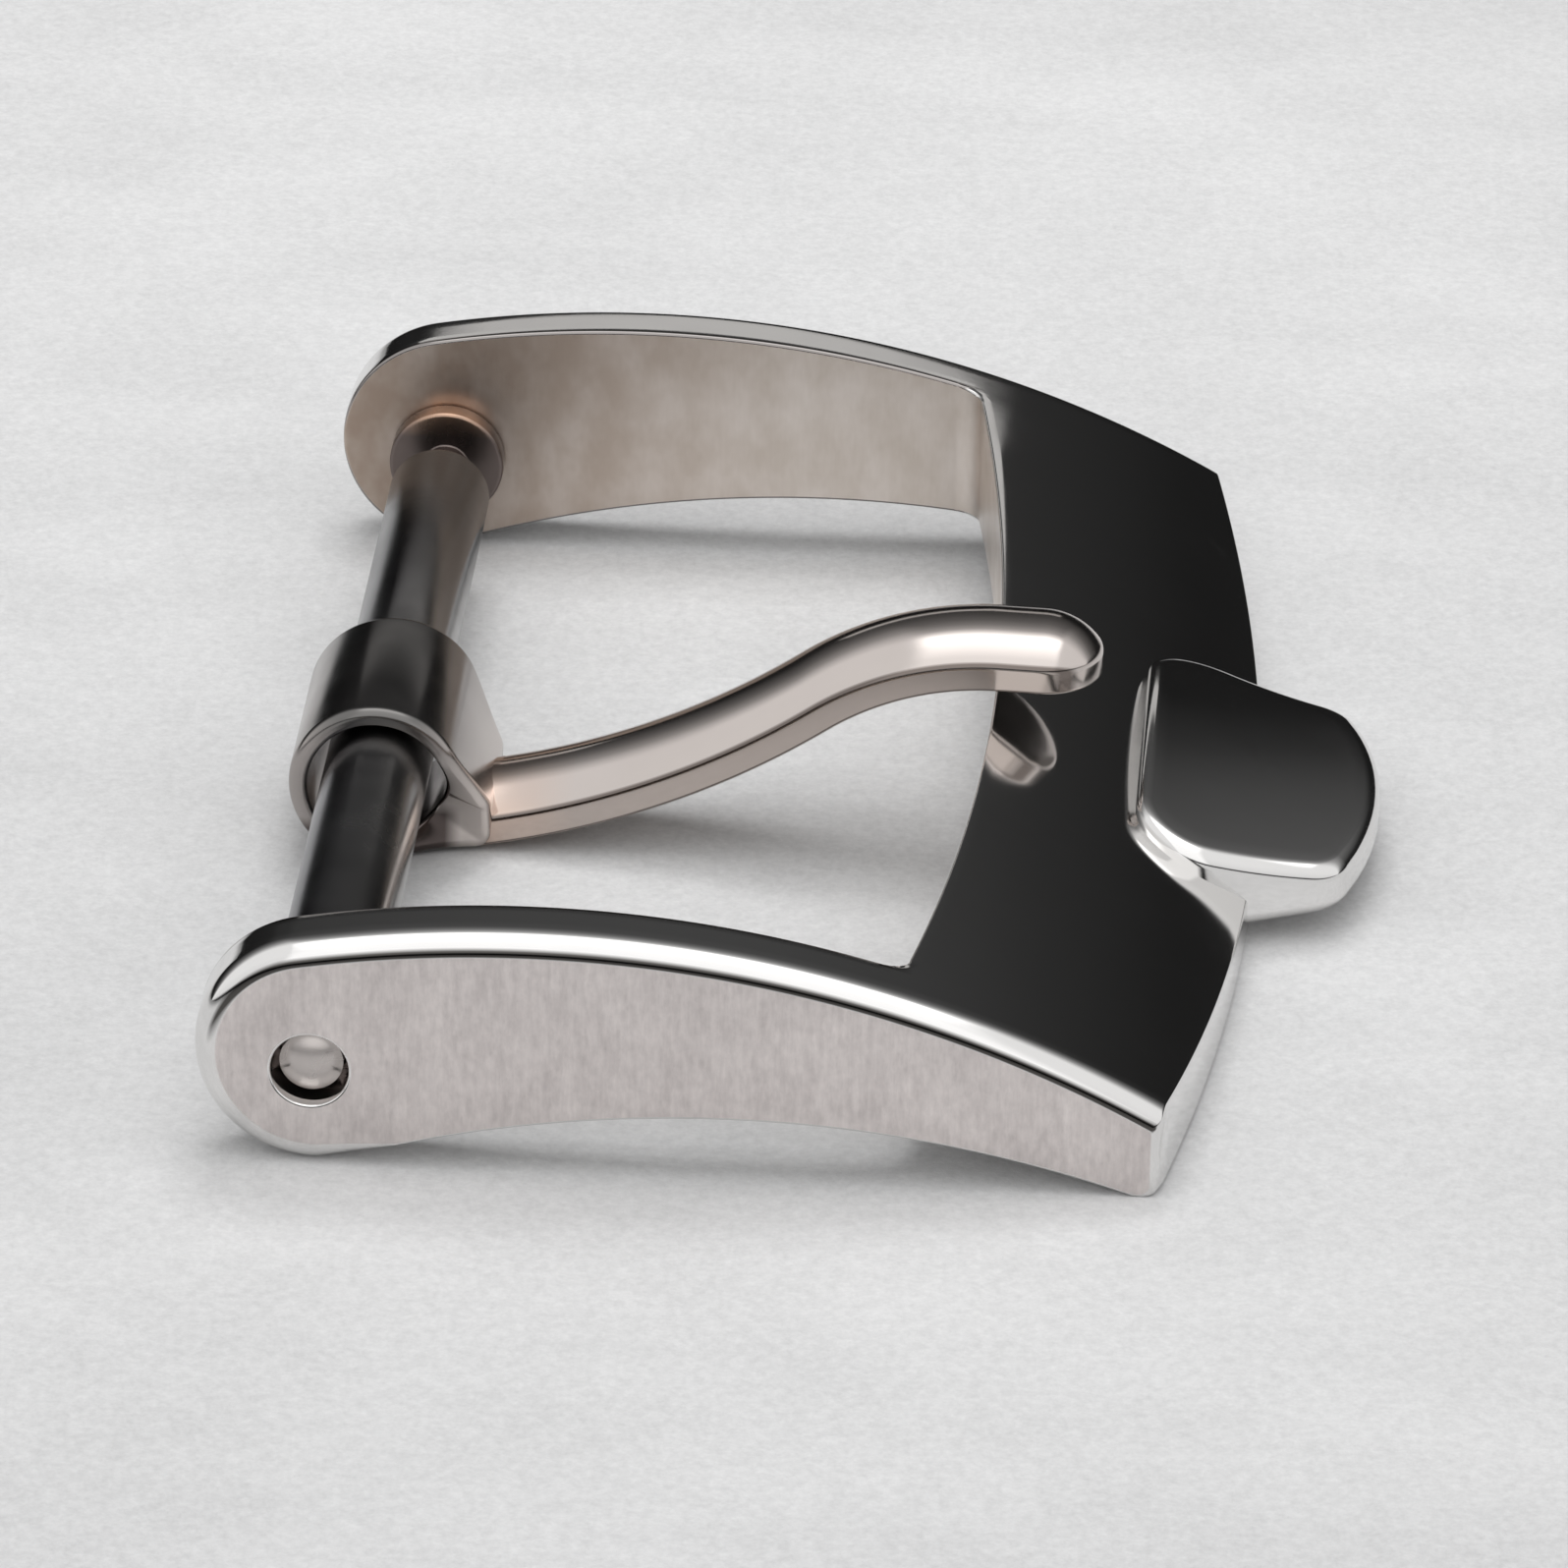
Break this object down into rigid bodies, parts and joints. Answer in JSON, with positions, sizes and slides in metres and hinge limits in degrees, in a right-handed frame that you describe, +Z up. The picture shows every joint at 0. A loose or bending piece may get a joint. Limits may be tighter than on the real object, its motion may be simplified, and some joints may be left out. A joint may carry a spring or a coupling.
{
  "type": "watch strap pin buckle",
  "caption": "Pin buckle for a watch strap: arched frame with a waved tongue on a sprung bar and a smooth thumb tab at the front.",
  "frame": {"origin": "middle of the strap bar's axis, halfway between the two arms", "axes": "+X from the strap bar to the crossbar, +Y across the strap along the bar, +Z up, away from the wrist"},
  "size_m": [0.0137, 0.0176, 0.0031],
  "materials": {
    "frame": "mirror polished top and crossbar, satin outer and inner faces",
    "thumb_tab": "mirror polished",
    "tongue": "mirror polished",
    "bar_tube": "drawn tube, finely turned",
    "pins": "turned",
    "bar_spring": "spring wire"
  },
  "bodies": {
    "frame": {"frame": "frame", "thumb_tab": "thumb_tab"},
    "spring_bar": {"bar_tube": "bar_tube", "bar_spring": "bar_spring"},
    "near_pin": {"near_pin": "pins"},
    "far_pin": {"far_pin": "pins"},
    "tongue": {"tongue": "tongue"}
  },
  "joints": [
    {"name": "bar_spin", "type": "hinge", "parent": "frame", "child": "spring_bar", "pos_m": [0, 0, 0], "axis": [0, 1, 0], "continuous": true},
    {"name": "near_pin_slide", "type": "slide", "parent": "spring_bar", "child": "near_pin", "axis": [0, 1, 0], "range_m": [0, 0.00075], "stiffness_N_per_m": 600, "deforming": ["bar_spring"]},
    {"name": "far_pin_slide", "type": "slide", "parent": "spring_bar", "child": "far_pin", "axis": [0, -1, 0], "range_m": [0, 0.00075], "stiffness_N_per_m": 600, "deforming": ["bar_spring"]},
    {"name": "tongue_hinge", "type": "hinge", "parent": "frame", "child": "tongue", "pos_m": [0, 0, -0.00013], "axis": [0, -1, 0], "range_deg": [0, 172]}
  ]
}
